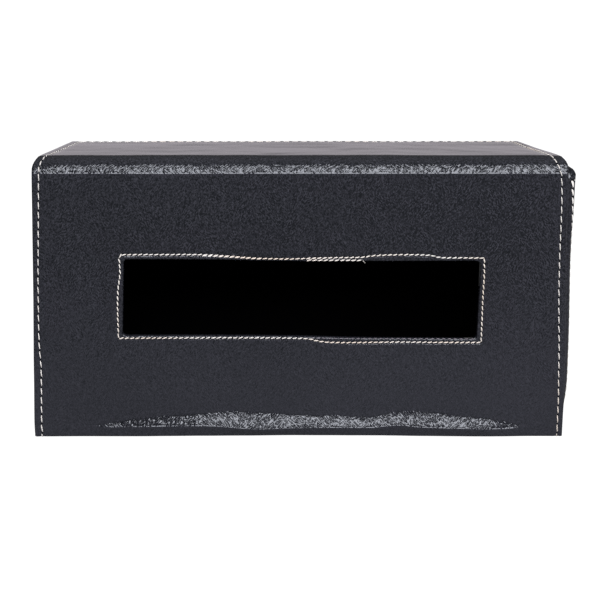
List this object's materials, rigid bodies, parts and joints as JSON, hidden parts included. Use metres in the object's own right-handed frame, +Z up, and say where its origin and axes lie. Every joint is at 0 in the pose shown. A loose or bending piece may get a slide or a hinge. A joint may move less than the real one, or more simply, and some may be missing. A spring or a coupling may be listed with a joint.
{
  "type": "tissue box holder",
  "caption": "Rectangular leatherette tissue box holder with a long slot in one face and a hinged flap at one end for loading.",
  "frame": {"origin": "on the table, under the middle of the whole object as it stands with its flap ajar", "axes": "+X along the length to the end with the flap, +Y from the slot face to the base, +Z up from the long side that it stands on"},
  "size_m": [0.2552, 0.105, 0.134],
  "materials": {
    "leatherette": "semi-gloss pebble grain, cream stitched",
    "card": "grey board",
    "lining": "matt black felt",
    "batten": "stained black",
    "magnet": "ferrite",
    "steel": "plated strip"
  },
  "bodies": {
    "box": {"outer_wrap": "leatherette", "top_board": "card", "front_board": "card", "fold_strip": "card", "wall_lining": "lining", "slot_facing": "leatherette", "bottom_cover": "leatherette", "bottom_board": "card", "bottom_lining": "lining", "base_cover": "leatherette", "base_board": "card", "base_lining": "lining", "left_end_cover": "leatherette", "left_end_board": "card", "left_end_lining": "lining", "stop_rail": "batten", "rail_magnet": "magnet", "hinge_strip": "leatherette"},
    "flap": {"flap_cover": "leatherette", "flap_board": "card", "flap_lining": "lining", "flap_keeper": "steel"}
  },
  "joints": [
    {"name": "flap_hinge", "type": "hinge", "parent": "box", "child": "flap", "pos_m": [0.12038, 0, 0.0024], "axis": [0, 1, 0], "range_deg": [-2.4, 87.6], "deforming": ["hinge_strip"]}
  ]
}
